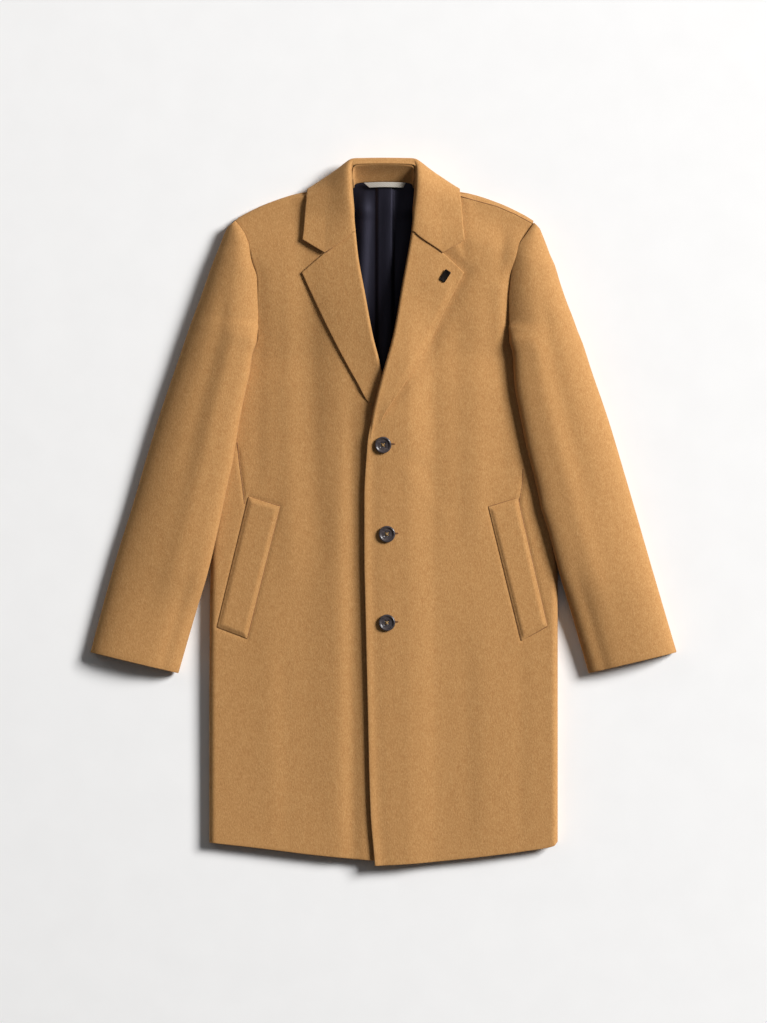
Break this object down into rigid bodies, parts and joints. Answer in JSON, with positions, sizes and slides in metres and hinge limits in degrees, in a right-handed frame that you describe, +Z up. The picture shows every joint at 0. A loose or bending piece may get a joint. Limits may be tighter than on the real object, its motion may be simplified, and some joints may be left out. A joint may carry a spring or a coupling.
{
  "type": "wool overcoat",
  "caption": "Single-breasted wool overcoat laid flat on its back, buttoned, with notched lapels, set-in sleeves and slanted welt pockets.",
  "frame": {"origin": "centre of the bounding box at the surface it lies on", "axes": "+Y from hem to collar, +X to the wearer's left, +Z up from the surface"},
  "size_m": [0.8782, 1.0586, 0.0543],
  "materials": {
    "wool": "napped camel wool coating",
    "lining": "dark satin lining",
    "tape": "plain woven tape",
    "horn": "polished dark horn",
    "dark_metal": "dark plated, satin"
  },
  "bodies": {
    "root": {"back": "wool", "front_right": "wool", "front_left": "wool", "facing_right": "wool", "facing_left": "wool", "collar_leaf": "wool", "collar_stand": "wool", "sleeve_right_top": "wool", "sleeve_right_under": "wool", "sleeve_left_top": "wool", "sleeve_left_under": "wool", "welt_right": "wool", "welt_left": "wool", "lining_back": "lining", "hanger_loop": "tape", "button_1": "horn", "button_2": "horn", "button_3": "horn", "lapel_pin": "dark_metal"}
  },
  "joints": []
}
